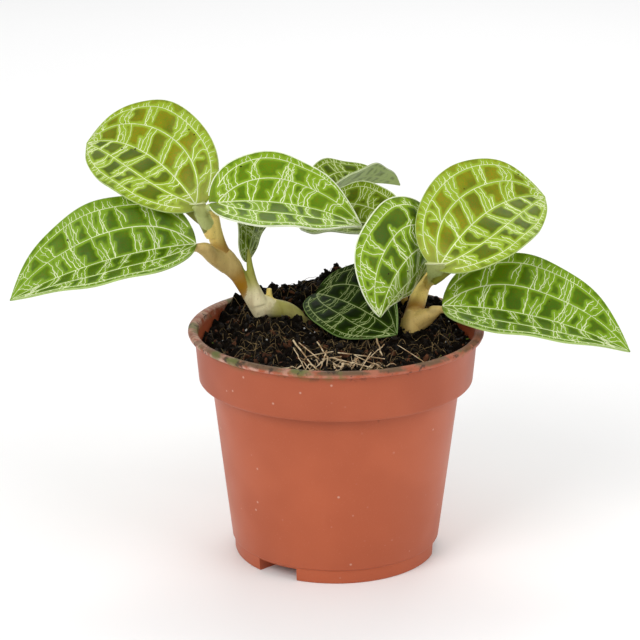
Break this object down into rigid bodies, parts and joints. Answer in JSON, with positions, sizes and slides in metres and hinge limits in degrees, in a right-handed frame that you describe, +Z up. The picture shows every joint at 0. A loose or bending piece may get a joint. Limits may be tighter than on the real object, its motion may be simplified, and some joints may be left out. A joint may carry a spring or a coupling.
{
  "type": "potted jewel orchid",
  "caption": "Potted jewel orchid: short creeping shoots with broad net-veined leaves in a nursery pot with a collar, filled with peat.",
  "frame": {"origin": "on the pot's axis, on the surface that the pot stands on", "axes": "+Z up along the pot's axis, +X to the right and +Y away from a viewer who faces the front, so the longest spread of the leaves lies along X"},
  "size_m": [0.1859, 0.1156, 0.136],
  "materials": {
    "terracotta plastic": "satin moulded plastic, terracotta brown, dirt and algae on the lip",
    "peat soil": "loose dark brown peat with fibres",
    "shoot left": "smooth fleshy stem with papery sheaths",
    "shoot right": "smooth fleshy stem with papery sheaths",
    "shoot back": "smooth fleshy stem with papery sheaths",
    "leaf left upper": "satin leaf with a net of pale veins",
    "leaf left lower": "satin leaf with a net of pale veins",
    "leaf left front": "satin leaf with a net of pale veins",
    "leaf left small": "satin leaf with a net of pale veins",
    "leaf right upper": "satin leaf with a net of pale veins",
    "leaf right lower": "satin leaf with a net of pale veins",
    "leaf middle": "satin leaf with a net of pale veins",
    "leaf on soil": "satin leaf with a net of pale veins",
    "leaf back folded": "satin leaf with a net of pale veins",
    "leaf back dark": "satin leaf with a net of pale veins"
  },
  "bodies": {
    "root": {"pot": "terracotta plastic", "soil": "peat soil", "shoot_left": "shoot left", "shoot_right": "shoot right", "shoot_back": "shoot back", "leaf_left_upper": "leaf left upper", "leaf_left_lower": "leaf left lower", "leaf_left_front": "leaf left front", "leaf_left_small": "leaf left small", "leaf_right_upper": "leaf right upper", "leaf_right_lower": "leaf right lower", "leaf_middle": "leaf middle", "leaf_on_soil": "leaf on soil", "leaf_back_folded": "leaf back folded", "leaf_back_dark": "leaf back dark"}
  },
  "joints": []
}
